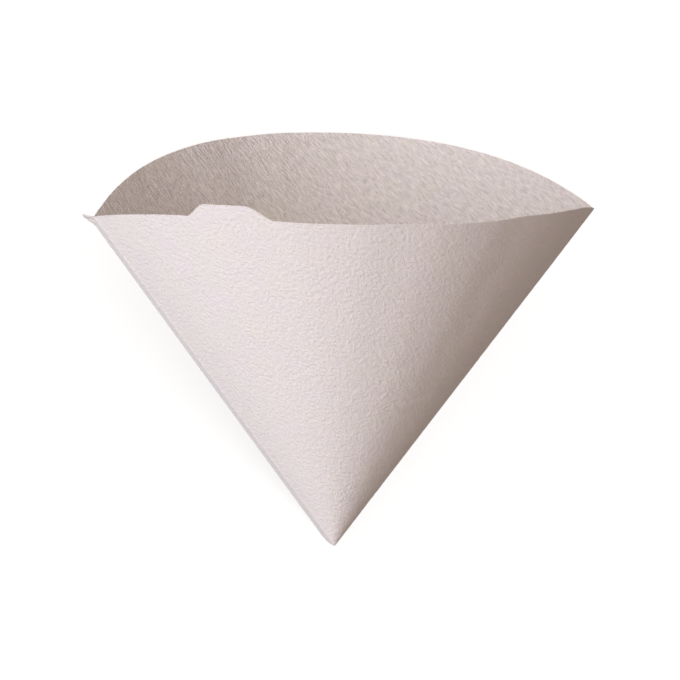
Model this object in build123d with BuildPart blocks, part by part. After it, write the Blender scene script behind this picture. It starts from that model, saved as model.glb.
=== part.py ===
"""Cone coffee filter of crepe paper, opened, lying on its back panel with the tab side up.

One half-round sheet is folded down its middle, and its two straight edges are crimped together
into a seam. The fold is the right crease, the seam is the left crease, and the two creases
meet at the tip. Each panel between them curls on a right circular cone through the tip, so it
unrolls flat. The back panel keeps a narrow flat along its middle, on which it lies.

Everything is drawn with the tip at the origin, the creases in the XZ plane, the mouth towards
+Z and the back panel on the +Y side. The finished paper is then laid down on its back: the tip
to -Y, the mouth to +Y, the tab side up, and the origin at the bottom centre of the whole.
"""
import os
from math import asin, atan2, cos, degrees, pi, radians, sin, sqrt

from build123d import *

# Driving dimensions, in millimetres and degrees
side_length = 120.0          # tip to rim along the paper: the radius of the flat sheet
paper_thickness = 0.25
panel_angle = 90.0           # flat angle of one panel at the tip
mouth_angle = 71.4           # between the two creases: how far the filter is opened
rest_flat_angle = 8.0        # flat angle of the strip of the back panel that stays flat

seam_width = 8.0             # crease to the seam's outer edge
seam_lift_angle = 26.5       # between the seam and the back panel it is folded towards
seam_sink = 0.125            # how deep the seam's inner layer starts in the back panel's paper
crimp_inner_margin = 0.75    # from the start of the seam's inner layer to the crimps
crimp_outer_margin = 1.0     # from the crimps to the seam's outer edge
crimp_pitch = 2.0
crimp_height = 0.2           # how far a crimp swings to each side of the seam's middle plane

tab_from_seam = 51.3         # along the rim, from the seam's crease to the tab's middle
tab_base = 25.4
tab_top = 14.4
tab_height = 4.5             # above the rim
tab_top_radius = 4.0
tab_base_radius = 2.5
tab_root = 4.0               # how far the tab's outline reaches down into the front panel

tip_blunt = 0.5              # height above the sharp tip at which the point is blunt
plug_top = 0.85              # height above the sharp tip up to which the paper is pressed solid
plug_inset = 0.02            # how far that pressed lump stays inside the outer faces
panel_start = 0.1            # where the panels begin, below the blunt point

tip = (0, 0, 0)
half_mouth = radians(mouth_angle / 2)
half_panel = radians(panel_angle / 2)


class Panel:
    """A panel's lines in its own frame: the middle one along Z, the outer face towards +Y.

    The strip within flat_angle stays flat. Beyond it the paper curls on a cone whose half
    angle is curl, as far as the crease.
    """

    halvings = 50            # steps in which the curl is closed in on

    def __init__(self, flat_angle):
        self.flat_half = radians(flat_angle / 2)
        self.fit_curl()
        crease = self.line_at(self.full_turn)
        self.tilt = atan2(-crease.Y, crease.Z)

    def set_curl(self, curl):
        outward = Vector(0, 1, 0)
        flat_edge = Vector(sin(self.flat_half), 0, cos(self.flat_half))
        self.curl = curl
        self.across = Vector(cos(self.flat_half), 0, -sin(self.flat_half))
        self.axis = flat_edge * cos(curl) - outward * sin(curl)
        self.start_radius = flat_edge * sin(curl) + outward * cos(curl)
        self.full_turn = self.turn_after(half_panel)

    def fit_curl(self):
        """Finds the cone half angle that puts the panel's two creases mouth_angle apart."""
        tightest, flattest = half_mouth - self.flat_half, pi / 2
        for _ in range(self.halvings):
            self.set_curl((tightest + flattest) / 2)
            if self.line_at(self.full_turn).X < sin(half_mouth):
                tightest = self.curl
            else:
                flattest = self.curl

    def turn_after(self, flat_angle):
        """Turn round the cone that a flat angle from the panel's middle comes to."""
        return (flat_angle - self.flat_half) / sin(self.curl)

    def radius_at(self, turn):
        return self.start_radius * cos(turn) + self.across * sin(turn)

    def line_at(self, turn):
        """Direction from the tip of the paper's straight line at a turn round the cone."""
        return self.axis * cos(self.curl) + self.radius_at(turn) * sin(self.curl)

    def normal_at(self, turn):
        return self.radius_at(turn) * cos(self.curl) - self.axis * sin(self.curl)

    def crease_lean(self):
        """Angle of the outer normal beside the crease, out of the plane of the two creases."""
        normal = self.normal_at(self.full_turn)
        return degrees(asin(normal.Y * cos(self.tilt) + normal.Z * sin(self.tilt)))

    def wall_section(self, turn, start, end, inner_side, outer_side):
        """Section of a straight wall on the cone: start to end from the tip, side to side."""
        radius = self.radius_at(turn)
        along = Vector(sin(self.curl), cos(self.curl))
        outward = Vector(cos(self.curl), -sin(self.curl))
        inner_face, outer_face = outward * inner_side, outward * outer_side
        with BuildSketch(Plane(tip, x_dir=radius, z_dir=radius.cross(self.axis))) as section:
            with BuildLine():
                Polyline(along * start + inner_face, along * end + inner_face,
                         along * end + outer_face, along * start + outer_face, close=True)
            make_face()
        return section.sketch

    def curled_strip(self, first_turn, end):
        """The curled paper from a turn round the cone to the right crease, as far as end."""
        with BuildPart() as strip:
            add(self.wall_section(first_turn, panel_start, end, 0, paper_thickness))
            revolve(axis=Axis(tip, -self.axis), revolution_arc=degrees(self.full_turn - first_turn))
        return strip.part


def paper_bend(first, last):
    """Round of the paper's outer face about a crease, between two directions in degrees."""
    with BuildSketch() as section:
        with BuildLine():
            bend = CenterArc((0, 0), paper_thickness, first, last - first)
            Polyline(bend @ 1, (0, 0), bend @ 0)
        make_face()
    return section.sketch


def rim_drop(distance):
    """How far the round rim falls below its tangent at a distance to the side."""
    return side_length - sqrt(side_length**2 - distance**2)


# Front panel: curled from crease to crease, cut past its rim but for the tab
front = Panel(0)
tab_turn = front.turn_after(half_panel - tab_from_seam / side_length)
tab_line, tab_normal = front.line_at(tab_turn), front.normal_at(tab_turn)
tab_plane = Plane(tab_line * side_length, x_dir=tab_line.cross(tab_normal), z_dir=tab_normal)
foot = tab_base / 2
skirt = foot + 2 * tab_base_radius
with BuildPart() as tab_outline:
    with BuildSketch(tab_plane.offset(-tab_root)):
        with BuildLine():
            Polyline(
                (-skirt, -tab_root), (-skirt, -rim_drop(skirt)), (-foot, -rim_drop(foot)),
                (-tab_top / 2, tab_height), (tab_top / 2, tab_height),
                (foot, -rim_drop(foot)), (skirt, -rim_drop(skirt)), (skirt, -tab_root),
                close=True,
            )
        outline = make_face()
        levels = outline.vertices().group_by(Axis.Y)
        fillet(levels[-1], tab_top_radius)
        fillet(levels[-2], tab_base_radius)
    extrude(amount=2 * tab_root)

with BuildPart() as past_rim:
    add(front.wall_section(0, side_length, side_length + 2 * tab_height,
                           -paper_thickness, 2 * paper_thickness))
    revolve(axis=Axis(tip, front.axis), revolution_arc=360)
    add(tab_outline.part, mode=Mode.SUBTRACT)

with BuildPart() as front_panel:
    add(front.curled_strip(-front.full_turn, side_length + tab_height))
    add(past_rim.part, mode=Mode.SUBTRACT)

# Back panel: a flat strip down its middle, curled on both sides of it
back = Panel(rest_flat_angle)
with BuildPart() as back_panel:
    add(back.curled_strip(0, side_length))
    mirror(about=Plane.YZ)
    with BuildSketch(Plane.XZ):
        with BuildLine():
            inner_arc = CenterArc((0, 0), panel_start, 90 - rest_flat_angle / 2, rest_flat_angle)
            rim_arc = CenterArc((0, 0), side_length, 90 - rest_flat_angle / 2, rest_flat_angle)
            Line(inner_arc @ 0, rim_arc @ 0)
            Line(inner_arc @ 1, rim_arc @ 1)
        make_face()
    extrude(amount=-paper_thickness)

# Right crease: the fold, its outer face rounded from the front panel's to the back panel's
fold_line = Vector(sin(half_mouth), 0, cos(half_mouth))
fold_outward = Vector(cos(half_mouth), 0, -sin(half_mouth))
with BuildPart() as fold:
    with BuildSketch(Plane(tip, x_dir=fold_outward, z_dir=fold_line)):
        add(paper_bend(-front.crease_lean(), back.crease_lean()))
    extrude(amount=side_length)

# Left crease: the front panel's paper rounds into the seam, which is two layers thick and
# stands off the back panel. In the section across the crease, X is outwards and Y to the front.
seam_line = Vector(-sin(half_mouth), 0, cos(half_mouth))
seam_section = Plane(tip, x_dir=(-cos(half_mouth), 0, -sin(half_mouth)), z_dir=seam_line)
seam_normal_angle = seam_lift_angle - back.crease_lean()
seam_face = Vector(1, 0).rotate(Axis.Z, seam_normal_angle)
across_seam = seam_face.rotate(Axis.Z, -90)
back_face = Vector(1, 0).rotate(Axis.Z, -back.crease_lean())
layer = seam_face * paper_thickness
above_back = paper_thickness - seam_sink
inner_start = (layer.dot(back_face) + above_back) / across_seam.dot(back_face)
crimp_from = inner_start + crimp_inner_margin
crimp_to = seam_width - crimp_outer_margin
crimp_start, crimp_end, seam_edge = (across_seam * at for at in (crimp_from, crimp_to, seam_width))

# The crimps are waves in both layers that run straight across the seam
crimp_count = round(side_length / crimp_pitch)
half_pitch = side_length / crimp_count / 2
wave = [Vector(i * half_pitch, crimp_height * (-1) ** i) for i in range(2 * crimp_count + 1)]
half_stack = Vector(0, paper_thickness)
crimp_direction = seam_section.x_dir * across_seam.X + seam_section.y_dir * across_seam.Y

with BuildPart() as seam:
    with BuildSketch(seam_section):
        add(paper_bend(seam_normal_angle, front.crease_lean()))
        with BuildLine():
            Polyline((0, 0), layer, crimp_start + layer, crimp_start - layer,
                     across_seam * inner_start - layer, close=True)
        make_face()
        with BuildLine():
            Polyline(crimp_end + layer, seam_edge + layer, seam_edge - layer, crimp_end - layer,
                     close=True)
        make_face()
    extrude(amount=side_length)
    with BuildSketch(Plane(crimp_direction * crimp_from, x_dir=seam_line, z_dir=crimp_direction)):
        with BuildLine():
            Polyline([point + half_stack for point in wave]
                     + [point - half_stack for point in reversed(wave)], close=True)
        make_face()
    extrude(amount=crimp_to - crimp_from)

# The whole sheet, standing on its tip. A pressed lump fills the point, inside the outer faces.
back_middle = Vector(0, sin(back.tilt), cos(back.tilt))
front_middle = Vector(0, -sin(front.tilt), cos(front.tilt))
with BuildPart() as standing:
    add(front_panel.part.moved(Plane(tip, x_dir=(-1, 0, 0), z_dir=front_middle).location))
    add(back_panel.part.moved(Plane(tip, x_dir=(1, 0, 0), z_dir=back_middle).location))
    add(fold.part)
    add(seam.part)
    Cylinder(tip_blunt * sin(back.tilt) + paper_thickness - plug_inset, plug_top,
             align=(Align.CENTER, Align.CENTER, Align.MIN))
    split(bisect_by=Plane.XY.offset(tip_blunt), keep=Keep.TOP)

# It lies on two things: the low corner of the seam beside the tip, and the flat strip's rim
corner_line = seam_section.from_local_coords(seam_edge + layer)
seam_corner = corner_line + seam_line * ((tip_blunt - corner_line.Z) / seam_line.Z)
back_outward = Vector(0, cos(back.tilt), -sin(back.tilt))
flat_rim = back_middle * side_length * cos(back.flat_half) + back_outward * paper_thickness
along_floor = Vector(0, flat_rim.Y - seam_corner.Y, flat_rim.Z - seam_corner.Z)
lying = Plane(tip, x_dir=(1, 0, 0), z_dir=Vector(1, 0, 0).cross(along_floor))
laid = standing.part.moved(lying.location.inverse())
box = laid.bounding_box()
with BuildPart() as filter_paper:
    add(laid.moved(Location((-box.center().X, -box.center().Y, -box.min.Z))))

filter_paper.part.label = "filter_paper"
os.makedirs("parts", exist_ok=True)
export_step(filter_paper.part, "parts/filter_paper.step")
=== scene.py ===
"""Cone coffee filter of creped paper, opened and lying on its back panel, on a pale floor.

The sheet is drawn flat first: a half disc whose straight side carries two seam strips. Flat
coordinates are X across the fold and Y along it, with the tip at the origin. The front panel
is at +X and the back panel at -X. The wrinkles of the creping run along X.

The flat sheet is folded up standing on its tip, with the two creases in the XZ plane, the fold
at +X, the seam at -X and the back panel on the +Y side. Then it is laid down on its back.
"""
from math import cos, pi, radians, sin, tan

import bpy
import numpy as np
from bpy.props import FloatProperty, FloatVectorProperty, IntProperty, PointerProperty
from mathutils import Matrix, Vector


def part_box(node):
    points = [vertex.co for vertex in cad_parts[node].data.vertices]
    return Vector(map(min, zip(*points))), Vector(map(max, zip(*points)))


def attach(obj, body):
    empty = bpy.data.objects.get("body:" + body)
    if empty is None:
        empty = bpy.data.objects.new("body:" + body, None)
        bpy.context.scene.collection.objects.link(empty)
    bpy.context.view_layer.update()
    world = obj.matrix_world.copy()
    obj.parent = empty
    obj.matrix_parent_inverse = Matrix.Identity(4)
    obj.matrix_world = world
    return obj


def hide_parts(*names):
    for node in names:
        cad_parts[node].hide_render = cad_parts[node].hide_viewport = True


bl_info = {
    "name": "Cone Coffee Filter",
    "version": (1, 0, 0),
    "blender": (4, 5, 0),
    "location": "3D View > Sidebar > Coffee Filter",
    "description": "Makes an opened cone coffee filter of creped paper",
    "category": "Add Mesh",
}

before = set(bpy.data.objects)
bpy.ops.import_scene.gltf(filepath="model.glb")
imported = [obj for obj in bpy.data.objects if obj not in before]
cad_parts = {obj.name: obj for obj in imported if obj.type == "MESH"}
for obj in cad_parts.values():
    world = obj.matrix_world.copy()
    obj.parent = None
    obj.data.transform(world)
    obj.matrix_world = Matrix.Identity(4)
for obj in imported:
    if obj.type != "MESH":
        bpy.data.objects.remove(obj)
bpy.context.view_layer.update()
cad_low, cad_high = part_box("filter_paper")

MM = 0.001


class FilterSizes(bpy.types.PropertyGroup):
    """Sizes of the folded paper."""

    side_length: FloatProperty(
        name="Side length", description="Tip to rim along the paper", default=120 * MM,
        unit="LENGTH")
    thickness: FloatProperty(
        name="Thickness", description="Thickness of the paper", default=0.25 * MM, unit="LENGTH")
    mouth_angle: FloatProperty(
        name="Mouth angle", description="Between the fold and the seam's crease",
        default=radians(71.9), subtype="ANGLE")
    front_depth: FloatProperty(
        name="Front depth", description="How far the front panel bellies out", default=0.497)
    front_lean: FloatProperty(
        name="Front lean", description="How much fuller the front is on the fold's side",
        default=0.036)
    front_fullness: FloatProperty(
        name="Front fullness", description="How much fuller the front is near its creases",
        default=0.157)
    back_depth: FloatProperty(
        name="Back depth", description="How far the back panel bellies out", default=0.505)
    back_lean: FloatProperty(
        name="Back lean", description="How much fuller the back is on the fold's side",
        default=0.021)
    back_fullness: FloatProperty(
        name="Back fullness", description="How much fuller the back is near its creases",
        default=-0.051)
    rim_wave: FloatProperty(
        name="Rim wave", description="How far the paper waves in and out at its rim",
        default=0.35 * MM, unit="LENGTH")


class SeamSizes(bpy.types.PropertyGroup):
    """Sizes of the crimped seam."""

    width: FloatProperty(
        name="Width", description="Crease to the seam's outer edge", default=8 * MM,
        unit="LENGTH")
    fold_angle: FloatProperty(
        name="Fold angle", description="How far the seam is folded to the back",
        default=radians(82), subtype="ANGLE")
    flare: FloatProperty(
        name="Flare", description="How much less it is folded at the rim",
        default=radians(9), subtype="ANGLE")
    margin: FloatProperty(
        name="Margin", description="Plain strip on each side of the crimps", default=1 * MM,
        unit="LENGTH")
    pitch: FloatProperty(
        name="Crimp pitch", description="One crimp to the next", default=2 * MM, unit="LENGTH")
    height: FloatProperty(
        name="Crimp height", description="How far a crimp swings to each side",
        default=0.2 * MM, unit="LENGTH")


class TabSizes(bpy.types.PropertyGroup):
    """Sizes of the tab on the rim of the front panel."""

    from_seam: FloatProperty(
        name="From seam", description="Along the rim, from the seam's crease to the tab's middle",
        default=49.8 * MM, unit="LENGTH")
    base: FloatProperty(
        name="Base", description="Width where it leaves the rim", default=25.4 * MM,
        unit="LENGTH")
    top: FloatProperty(
        name="Top", description="Width of its top", default=11 * MM, unit="LENGTH")
    height: FloatProperty(
        name="Height", description="How far it stands above the rim", default=4.5 * MM,
        unit="LENGTH")


class CrepeLook(bpy.types.PropertyGroup):
    """The paper's wrinkles and colour."""

    wrinkle_length: FloatProperty(
        name="Wrinkle length", description="Length of one wrinkle", default=5 * MM,
        unit="LENGTH")
    wrinkle_width: FloatProperty(
        name="Wrinkle width", description="Half the distance between two wrinkles",
        default=0.75 * MM, unit="LENGTH")
    wrinkle_height: FloatProperty(
        name="Wrinkle height", description="How high a wrinkle stands", default=0.12 * MM,
        unit="LENGTH")
    seed: IntProperty(name="Seed", description="Another number gives other wrinkles", default=3)
    colour: FloatVectorProperty(
        name="Colour", description="The paper's colour", subtype="COLOR", size=3, min=0, max=1,
        default=(0.80, 0.74, 0.72))
    warm_colour: FloatVectorProperty(
        name="Warm colour", description="Its colour in the warmer patches", subtype="COLOR",
        size=3, min=0, max=1, default=(0.80, 0.75, 0.70))


class StageLook(bpy.types.PropertyGroup):
    """Floor, lights and camera."""

    floor_colour: FloatVectorProperty(
        name="Floor colour", description="Colour of the floor", subtype="COLOR", size=3,
        min=0, max=1, default=(0.80, 0.90, 0.96))
    floor_glow: FloatProperty(
        name="Floor glow", description="How much brighter only the camera sees the floor",
        default=0.72)
    floor_bounce: FloatProperty(
        name="Floor bounce", description="Share of its light that the floor throws back up",
        default=0.3)
    floor_size: FloatProperty(
        name="Floor size", description="Side of the floor", default=12, unit="LENGTH")
    key_power: FloatProperty(
        name="Key light", description="Power of the soft light on the left", default=11.4,
        unit="POWER")
    key_colour: FloatVectorProperty(
        name="Key colour", description="Colour of the soft light on the left", subtype="COLOR",
        size=3, min=0, max=1, default=(0.83, 0.875, 1))
    fill_power: FloatProperty(
        name="Fill light", description="Power of the light above the mouth", default=2.9,
        unit="POWER")
    room_light: FloatProperty(
        name="Room light", description="Strength of the light from all round", default=0.50)
    room_colour: FloatVectorProperty(
        name="Room colour", description="Colour of the light from all round", subtype="COLOR",
        size=3, min=0, max=1, default=(1, 0.83, 0.75))


# ---- Flat sheet ----


def ease(share):
    """Goes from 0 to 1 with no jump in slope."""
    share = np.clip(share, 0, 1)
    return share * share * (3 - 2 * share)


def soft_noise(x, y, length, width, seed):
    """Smooth random values from -1 to 1, in streaks length long and width wide along X."""
    row = y / width
    low_row = np.floor(row).astype(int)
    first = low_row.min()
    count = low_row.max() - first + 2
    column = x / length
    columns = int(np.ceil(column.max() - column.min())) + 3
    random = np.random.default_rng(seed)
    values = random.uniform(-1, 1, (count, columns))
    shifts = random.uniform(0, 1, count)

    def along_row(index):
        place = column - column.min() + shifts[index]
        left = np.floor(place).astype(int)
        share = ease(place - left)
        return values[index, left] * (1 - share) + values[index, left + 1] * share

    share = ease(row - low_row)
    return along_row(low_row - first) * (1 - share) + along_row(low_row - first + 1) * share


def tab_rise(angle, sizes, tab):
    """How far the outline stands above the rim, at an angle from the fold.

    kink is the slope where a shoulder leaves the rim. It runs out level at the top.
    """
    kink = 0.6
    to_middle = np.abs((pi / 2 - angle) * sizes.side_length - tab.from_seam)
    share = np.clip((tab.base / 2 - to_middle) / (tab.base / 2 - tab.top / 2), 0, 1)
    return tab.height * share * (kink + (3 - 2 * kink) * share + (kink - 2) * share**2)


def row_ends(rows, sizes, tab):
    """X of the sheet's outline to the left and right, at each row's Y."""
    angle = np.linspace(0, pi / 2, 4001)
    radius = sizes.side_length + tab_rise(angle, sizes, tab)
    right = np.interp(rows, (radius * np.cos(angle))[::-1], (radius * np.sin(angle))[::-1])
    left = np.sqrt(np.maximum(sizes.side_length**2 - np.maximum(rows, 0) ** 2, 0))
    return -left, right


def zip_rows(lower, upper, x):
    """Triangles between two rows of points that both run along X."""
    i = j = 0
    triangles = []
    while i < len(lower) - 1 or j < len(upper) - 1:
        upper_done = j == len(upper) - 1
        if upper_done or (i < len(lower) - 1 and x[lower[i + 1]] <= x[upper[j + 1]]):
            triangles.append((lower[i], lower[i + 1], upper[j]))
            i += 1
        else:
            triangles.append((lower[i], upper[j + 1], upper[j]))
            j += 1
    return triangles


def flat_sheet(sizes, seam, tab):
    """Points of the flat sheet, in rows along X, and the triangles between them."""
    crease = 0.15 * MM
    panel_step, panel_row = 1.5 * MM, 0.38 * MM
    seam_step = seam.pitch / 5
    ramp = 0.3 * MM
    inner, outer = seam.margin, seam.width - seam.margin
    seam_rows = [-seam.width, (-seam.width - outer - ramp) / 2, -outer - ramp, -outer]
    seam_rows += list(np.linspace(-outer, -inner, 6)[1:])
    seam_rows += [-inner + ramp, -crease]
    panel_count = round(sizes.side_length / panel_row)
    panel_rows = np.linspace(0, sizes.side_length, panel_count + 1)
    rim_rows = np.sqrt(sizes.side_length**2 - np.arange(7.5, 0, -1.5) ** 2 * MM**2)
    rows = np.array(
        seam_rows + [0, crease] + list(panel_rows[1:-1]) + list(rim_rows) + [panel_rows[-1]])
    lefts, rights = row_ends(rows, sizes, tab)
    fold_columns = np.array([crease, 0.4 * MM, 0.85 * MM])
    x, y, row_points = [], [], []
    for number, (row, left, right) in enumerate(zip(rows, lefts, rights)):
        step = seam_step if row <= 0 else panel_step
        start = fold_columns[-1] + step * (0.5 + 0.5 * (number % 2))
        side = np.concatenate([fold_columns, np.arange(start, max(right, -left), step)])
        clear = step / 3
        across = np.concatenate([
            [left], -side[side < -left - clear][::-1], [0], side[side < right - clear], [right]])
        if right - left < crease:
            across = np.zeros(1)
        row_points.append(range(len(x), len(x) + len(across)))
        x.extend(across)
        y.extend([row] * len(across))
    triangles = []
    for lower, upper in zip(row_points, row_points[1:]):
        triangles += zip_rows(lower, upper, x)
    return np.array(x), np.array(y), triangles


# ---- Folding up ----


def panel_lines(sizes, depth, lean, fullness):
    """Straight lines of one panel, fold to seam: flat angle from the fold, and direction."""
    across = np.linspace(1, -1, 1001)
    section = np.stack([
        tan(sizes.mouth_angle / 2) * across,
        depth * (1 - across**2) * (1 + lean * across + fullness * across**2),
        np.ones_like(across)], axis=1)
    direction = section / np.linalg.norm(section, axis=1, keepdims=True)
    turns = np.linalg.norm(np.diff(direction, axis=0), axis=1)
    angle = np.concatenate([[0], np.cumsum(turns)])
    return angle * (pi / 2) / angle[-1], direction


def folded(x, y, sizes, seam):
    """The flat points folded up, standing on the tip."""
    front = panel_lines(sizes, -sizes.front_depth, sizes.front_lean, sizes.front_fullness)
    back = panel_lines(sizes, sizes.back_depth, sizes.back_lean, sizes.back_fullness)
    angle = np.arctan2(np.abs(x), np.maximum(y, 0))
    direction = np.zeros((len(x), 3))
    for side, (angles, lines) in ((x > 0, front), (x <= 0, back)):
        for axis in range(3):
            direction[side, axis] = np.interp(angle[side], angles, lines[:, axis])
    points = direction * np.hypot(x, np.maximum(y, 0))[:, None]

    half_mouth = sizes.mouth_angle / 2
    outwards = np.array([-cos(half_mouth), 0, -sin(half_mouth)])
    to_back = np.array([0, 1, 0])
    flare_length = 5 * MM
    at_rim = ease(1 - (sizes.side_length - np.abs(x)) / flare_length)
    fold_angle = (seam.fold_angle - seam.flare * at_rim)[:, None]
    across_seam = np.cos(fold_angle) * outwards + np.sin(fold_angle) * to_back
    seam_face = np.sin(fold_angle) * outwards - np.cos(fold_angle) * to_back
    down_seam = np.maximum(-y, 0)
    on_crimps = ease((down_seam - seam.margin) / (0.3 * MM) + 1)
    on_crimps *= ease((seam.width - seam.margin - down_seam) / (0.3 * MM) + 1)
    crimp = seam.height * on_crimps * np.cos(2 * pi * np.abs(x) / seam.pitch)
    layer = sizes.thickness / 2 * np.clip(x / (0.4 * MM), -1, 1)
    layer *= 1 - ease(y / (1.5 * MM))
    points += down_seam[:, None] * across_seam
    points += (crimp + layer)[:, None] * seam_face
    return points


def crepe_height(x, y, look):
    """Height of the wrinkles above the smooth sheet, lower on the front towards the seam."""
    y_wandered = y + 1.1 * MM * soft_noise(x, y, 5 * MM, 6 * MM, look.seed)
    wide = soft_noise(x, y_wandered, look.wrinkle_length, look.wrinkle_width, look.seed + 1)
    fine = soft_noise(
        x, y_wandered, look.wrinkle_length / 2, look.wrinkle_width * 0.6, look.seed + 2)
    strength = 0.75 + 0.35 * soft_noise(x, y, 14 * MM, 9 * MM, look.seed + 3)
    from_tip = np.hypot(x, y)
    pressed = 0.35 + 0.65 * ease(np.abs(x) / (3 * MM))
    pressed *= 0.3 + 0.7 * ease(np.abs(y) / (2.5 * MM))
    pressed = np.where(y < 0, 0.25, pressed) * ease(from_tip / (8 * MM))
    from_fold = np.arctan2(x, np.maximum(y, 0))
    smoothed = 1 - 0.7 * ease((from_fold - radians(15)) / radians(50))
    return look.wrinkle_height * (wide + 0.5 * fine) * strength * pressed * smoothed


def paper_wave(x, y, sizes, look):
    """Slow waves in and out that grow towards the rim."""
    angle = np.arctan2(x, np.maximum(y, 0)) * sizes.side_length
    reach = np.clip(np.hypot(x, y) / sizes.side_length, 0, 1) ** 2
    wave = soft_noise(angle, y * 0, 13 * MM, 1, look.seed + 4)
    return sizes.rim_wave * wave * reach * ease(np.abs(x) / (6 * MM)) * ease(y / (6 * MM))


def resting_turn(points):
    """Angle from upright at which the standing points come to rest on their back."""
    least, most = 0, radians(45)
    middle = points.mean(axis=0)
    for _ in range(40):
        turn = (least + most) / 2
        heights = points[:, 2] * sin(turn) - points[:, 1] * cos(turn)
        lowest = points[heights.argmin()] - middle
        if lowest[1] * sin(turn) + lowest[2] * cos(turn) > 0:
            least = turn
        else:
            most = turn
    return turn


def laid_down(points):
    """Turns the standing filter onto its back and moves it into the CAD node's box."""
    turn = resting_turn(points)
    rotation = Matrix(((1, 0, 0), (0, sin(turn), cos(turn)), (0, -cos(turn), sin(turn))))
    lying = points @ np.array(rotation).T
    middle = (lying.min(axis=0) + lying.max(axis=0)) / 2
    cad_middle = (cad_low + cad_high) / 2
    shift = Vector((cad_middle.x - middle[0], cad_middle.y - middle[1],
                    cad_low.z - lying[:, 2].min()))
    return Matrix.Translation(shift) @ rotation.to_4x4()


# ---- Materials ----


def link(tree, source, target):
    tree.links.new(source, target)


def fibre_group():
    """Paper fibres and fine creping: a height for bump, which the materials also use for shade
    and light painted into the colour, and a slow patchiness for colour.
    """
    group = bpy.data.node_groups.new("paper_fibre", "ShaderNodeTree")
    for name, default in (("Wrinkle Length", 0.003), ("Wrinkle Width", 0.0007), ("Fibre", 0.35)):
        socket = group.interface.new_socket(name, in_out="INPUT", socket_type="NodeSocketFloat")
        socket.default_value = default
    for name in ("Height", "Patches"):
        group.interface.new_socket(name, in_out="OUTPUT", socket_type="NodeSocketFloat")
    nodes = group.nodes
    given = nodes.new("NodeGroupInput")
    result = nodes.new("NodeGroupOutput")
    sheet_place = nodes.new("ShaderNodeUVMap")
    sheet_place.uv_map = "flat_sheet"

    stretch = nodes.new("ShaderNodeCombineXYZ")
    link(group, given.outputs["Wrinkle Length"], stretch.inputs["X"])
    link(group, given.outputs["Wrinkle Width"], stretch.inputs["Y"])
    stretch.inputs["Z"].default_value = 1
    in_wrinkles = nodes.new("ShaderNodeVectorMath")
    in_wrinkles.operation = "DIVIDE"
    link(group, sheet_place.outputs["UV"], in_wrinkles.inputs[0])
    link(group, stretch.outputs["Vector"], in_wrinkles.inputs[1])
    wrinkles = nodes.new("ShaderNodeTexNoise")
    wrinkles.inputs["Scale"].default_value = 1
    wrinkles.inputs["Detail"].default_value = 2
    wrinkles.inputs["Distortion"].default_value = 0.4
    link(group, in_wrinkles.outputs["Vector"], wrinkles.inputs["Vector"])

    fibres = nodes.new("ShaderNodeTexNoise")
    fibres.inputs["Scale"].default_value = 2600
    fibres.inputs["Detail"].default_value = 3
    link(group, sheet_place.outputs["UV"], fibres.inputs["Vector"])
    together = nodes.new("ShaderNodeMix")
    link(group, given.outputs["Fibre"], together.inputs["Factor"])
    link(group, wrinkles.outputs["Fac"], together.inputs["A"])
    link(group, fibres.outputs["Fac"], together.inputs["B"])
    link(group, together.outputs["Result"], result.inputs["Height"])

    patches = nodes.new("ShaderNodeTexNoise")
    patches.inputs["Scale"].default_value = 110
    patches.inputs["Detail"].default_value = 3
    link(group, sheet_place.outputs["UV"], patches.inputs["Vector"])
    link(group, patches.outputs["Fac"], result.inputs["Patches"])
    return group


def paper_material(name, look, fibre, wrinkle, bump, shade, painted_shading_contrast):
    """Matt creped paper, with a wrinkle's length and width and the depth of its bumps.

    The bumps are deeper than the real wrinkles, to show at this size. shade darkens the whole
    colour. The last argument paints shade into the colour where the wrinkles are low and paints
    light where they are high, in place of the relief's shading.
    """
    material = bpy.data.materials.new(name)
    material.use_nodes = True
    tree = material.node_tree
    shader = tree.nodes["Principled BSDF"]
    shader.inputs["Roughness"].default_value = 0.9
    shader.inputs["Specular IOR Level"].default_value = 0.25
    surface = tree.nodes.new("ShaderNodeGroup")
    surface.node_tree = fibre
    surface.inputs["Wrinkle Length"].default_value = wrinkle[0]
    surface.inputs["Wrinkle Width"].default_value = wrinkle[1]

    spread = tree.nodes.new("ShaderNodeMapRange")
    spread.inputs["From Min"].default_value = 0.35
    spread.inputs["From Max"].default_value = 0.65
    link(tree, surface.outputs["Patches"], spread.inputs["Value"])
    colour = tree.nodes.new("ShaderNodeMix")
    colour.data_type = "RGBA"
    colour.inputs["A"].default_value = [channel * shade for channel in look.colour] + [1]
    colour.inputs["B"].default_value = [channel * shade for channel in look.warm_colour] + [1]
    link(tree, spread.outputs["Result"], colour.inputs["Factor"])
    # Painted shade and light: the colour is darkened where the wrinkle height is low and
    # lightened where it is high.
    painted_relief_shading = tree.nodes.new("ShaderNodeMapRange")
    painted_relief_shading.inputs["From Min"].default_value = 0.3
    painted_relief_shading.inputs["From Max"].default_value = 0.7
    painted_relief_shading.inputs["To Min"].default_value = 1 - painted_shading_contrast
    painted_relief_shading.inputs["To Max"].default_value = 1 + painted_shading_contrast
    link(tree, surface.outputs["Height"], painted_relief_shading.inputs["Value"])
    shaded = tree.nodes.new("ShaderNodeVectorMath")
    shaded.operation = "SCALE"
    link(tree, colour.outputs["Result"], shaded.inputs["Vector"])
    link(tree, painted_relief_shading.outputs["Result"], shaded.inputs["Scale"])
    link(tree, shaded.outputs["Vector"], shader.inputs["Base Color"])

    relief = tree.nodes.new("ShaderNodeBump")
    relief.inputs["Strength"].default_value = 0.8
    relief.inputs["Distance"].default_value = bump
    link(tree, surface.outputs["Height"], relief.inputs["Height"])
    link(tree, relief.outputs["Normal"], shader.inputs["Normal"])
    return material


# ---- Operators ----


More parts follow.
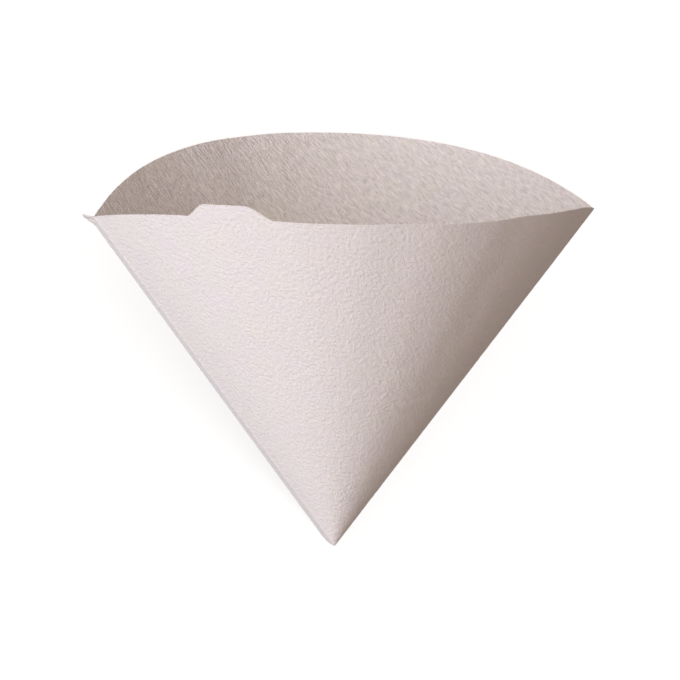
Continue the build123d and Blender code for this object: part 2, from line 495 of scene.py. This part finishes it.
class FILTER_OT_paper(bpy.types.Operator):
    """Make the creped sheet, fold it up, lay it down and give it its thickness"""

    bl_idname = "filter.paper"
    bl_label = "Filter Paper"

    def execute(self, context):
        scene = context.scene
        sizes, seam, tab, look = (
            scene.filter_sizes, scene.filter_seam, scene.filter_tab, scene.filter_crepe)
        x, y, triangles = flat_sheet(sizes, seam, tab)
        points = folded(x, y, sizes, seam)
        place = laid_down(points)

        mesh = bpy.data.meshes.new("filter_sheet")
        mesh.from_pydata(points, [], triangles)
        normals = np.empty(len(points) * 3)
        mesh.vertex_normals.foreach_get("vector", normals)
        rise = crepe_height(x, y, look) + paper_wave(x, y, sizes, look)
        points += normals.reshape(-1, 3) * rise[:, None]
        mesh.vertices.foreach_set("co", points.ravel())
        mesh.transform(place)

        flat_map = mesh.uv_layers.new(name="flat_sheet")
        corners = np.empty(len(mesh.loops), dtype=np.int32)
        mesh.loops.foreach_get("vertex_index", corners)
        flat_map.uv.foreach_set("vector", np.stack([x, y], axis=1)[corners].ravel())

        fibre = fibre_group()
        # The last number for each material is how strongly shade and light are painted into its
        # colour over the wrinkles.
        for material in (
                paper_material(
                    "crepe_paper", look, fibre, (2.4 * MM, 0.65 * MM), 1.5 * MM, 1, 0.2),
                paper_material(
                    "pebbled_paper", look, fibre, (1.2 * MM, 0.9 * MM), 0.65 * MM, 1, 0.01),
                paper_material(
                    "pressed_paper", look, fibre, (6 * MM, 2 * MM), 0.15 * MM, 0.95, 0.03)):
            mesh.materials.append(material)
        on_front = x[corners].reshape(-1, 3).max(axis=1) > 0
        on_seam = y[corners].reshape(-1, 3).min(axis=1) < 0
        mesh.polygons.foreach_set(
            "material_index", np.where(on_seam, 2, on_front).astype(np.int32))
        mesh.update()

        paper = bpy.data.objects.new("filter_sheet", mesh)
        scene.collection.objects.link(paper)
        bpy.ops.object.select_all(action="DESELECT")
        paper.select_set(True)
        context.view_layer.objects.active = paper
        wall = paper.modifiers.new("thickness", "SOLIDIFY")
        wall.thickness = sizes.thickness
        wall.offset = 0
        bpy.ops.object.modifier_apply(modifier=wall.name)
        bpy.ops.object.shade_smooth_by_angle(angle=radians(60))
        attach(paper, "root")
        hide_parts("filter_paper")
        scene["filter_place"] = [value for row in place for value in row]
        return {"FINISHED"}


def floor_material(look):
    """Floor that glows for the camera, and throws only part of its light on the paper."""
    material = bpy.data.materials.new("pale_floor")
    material.use_nodes = True
    tree = material.node_tree
    tree.nodes.remove(tree.nodes["Principled BSDF"])
    seen = tree.nodes.new("ShaderNodeLightPath")
    matt, dim = (tree.nodes.new("ShaderNodeBsdfDiffuse") for _ in range(2))
    matt.inputs["Color"].default_value = [*look.floor_colour, 1]
    dim.inputs["Color"].default_value = [
        channel * look.floor_bounce for channel in look.floor_colour] + [1]
    glow = tree.nodes.new("ShaderNodeEmission")
    glow.inputs["Strength"].default_value = look.floor_glow
    pale = tree.nodes.new("ShaderNodeAddShader")
    either = tree.nodes.new("ShaderNodeMixShader")
    link(tree, matt.outputs["BSDF"], pale.inputs[0])
    link(tree, glow.outputs["Emission"], pale.inputs[1])
    link(tree, seen.outputs["Is Camera Ray"], either.inputs["Fac"])
    link(tree, dim.outputs["BSDF"], either.inputs[1])
    link(tree, pale.outputs["Shader"], either.inputs[2])
    link(tree, either.outputs["Shader"], tree.nodes["Material Output"].inputs["Surface"])
    return material


def softbox(name, power, colour, size, turn, height, lit):
    """Round soft light aimed at the origin, from a turn about +Z and a height over the floor.

    It lights only what is in the collection lit.
    """
    distance = 1.1
    light = bpy.data.lights.new(name, "AREA")
    light.shape = "DISK"
    light.size = size
    light.energy = power
    light.color = colour
    lamp = bpy.data.objects.new(name, light)
    bpy.context.scene.collection.objects.link(lamp)
    towards = Vector((cos(turn) * cos(height), sin(turn) * cos(height), sin(height)))
    lamp.location = towards * distance
    lamp.rotation_euler = towards.to_track_quat("Z", "Y").to_euler()
    lamp.light_linking.receiver_collection = lit


class FILTER_OT_stage(bpy.types.Operator):
    """Make the floor, the lights and the camera"""

    bl_idname = "filter.stage"
    bl_label = "Stage"

    def execute(self, context):
        scene = context.scene
        look = scene.filter_stage
        bpy.ops.object.select_all(action="DESELECT")
        bpy.ops.mesh.primitive_plane_add(size=look.floor_size, location=(0, 0, 0))
        floor = context.object
        floor.name = "floor"
        floor.data.materials.append(floor_material(look))

        world = bpy.data.worlds.new("room")
        world.use_nodes = True
        background = world.node_tree.nodes["Background"]
        background.inputs["Color"].default_value = [*look.room_colour, 1]
        background.inputs["Strength"].default_value = look.room_light
        scene.world = world

        lit = bpy.data.collections.new("lit_by_softboxes")
        lit.objects.link(bpy.data.objects["filter_sheet"])
        softbox("key", look.key_power, look.key_colour, 1, radians(190), radians(35), lit)
        softbox("fill", look.fill_power, (1, 1, 1), 0.7, radians(135), radians(60), lit)

        place = Matrix(np.array(scene["filter_place"]).reshape(4, 4).tolist())
        turn, tilt, roll = radians(-13.03), radians(16.25), radians(2.31)
        right, up = Vector((1, 0, 0)), Vector((0, sin(tilt), cos(tilt)))
        right, up = (right * cos(roll) + up * sin(roll), up * cos(roll) - right * sin(roll))
        axes = Matrix((right, up, right.cross(up))).transposed()
        axes = Matrix.Rotation(turn, 3, "Z") @ axes
        target = Vector((0, 0, 66 * MM))
        stand = target + axes @ Vector((-1.015 * MM, -5.19 * MM, 960 * MM))
        camera_data = bpy.data.cameras.new("camera")
        camera_data.lens = 183.25
        camera_data.clip_start = 0.05
        camera = bpy.data.objects.new("camera", camera_data)
        scene.collection.objects.link(camera)
        camera.matrix_world = place @ Matrix.Translation(stand) @ axes.to_4x4()
        scene.camera = camera
        scene.view_settings.view_transform = "Standard"
        return {"FINISHED"}


class FILTER_PT_sidebar(bpy.types.Panel):
    """Lists the sizes and the steps."""

    bl_label = "Coffee Filter"
    bl_idname = "FILTER_PT_sidebar"
    bl_space_type = "VIEW_3D"
    bl_region_type = "UI"
    bl_category = "Coffee Filter"

    def draw(self, context):
        layout = self.layout
        for title, settings in SETTINGS.items():
            box = layout.box()
            box.label(text=settings.__doc__)
            for name in settings.__annotations__:
                box.prop(getattr(context.scene, title), name)
        for step in STEPS:
            layout.operator(step.bl_idname)


SETTINGS = {
    "filter_sizes": FilterSizes,
    "filter_seam": SeamSizes,
    "filter_tab": TabSizes,
    "filter_crepe": CrepeLook,
    "filter_stage": StageLook,
}
STEPS = (FILTER_OT_paper, FILTER_OT_stage)


def register():
    for settings in SETTINGS.values():
        bpy.utils.register_class(settings)
    for name, settings in SETTINGS.items():
        setattr(bpy.types.Scene, name, PointerProperty(type=settings))
    for step in STEPS:
        bpy.utils.register_class(step)
    bpy.utils.register_class(FILTER_PT_sidebar)


def unregister():
    bpy.utils.unregister_class(FILTER_PT_sidebar)
    for step in reversed(STEPS):
        bpy.utils.unregister_class(step)
    for name in SETTINGS:
        delattr(bpy.types.Scene, name)
    for settings in reversed(SETTINGS.values()):
        bpy.utils.unregister_class(settings)


def main():
    register()
    bpy.ops.filter.paper()
    bpy.ops.filter.stage()


if __name__ == "__main__":
    main()
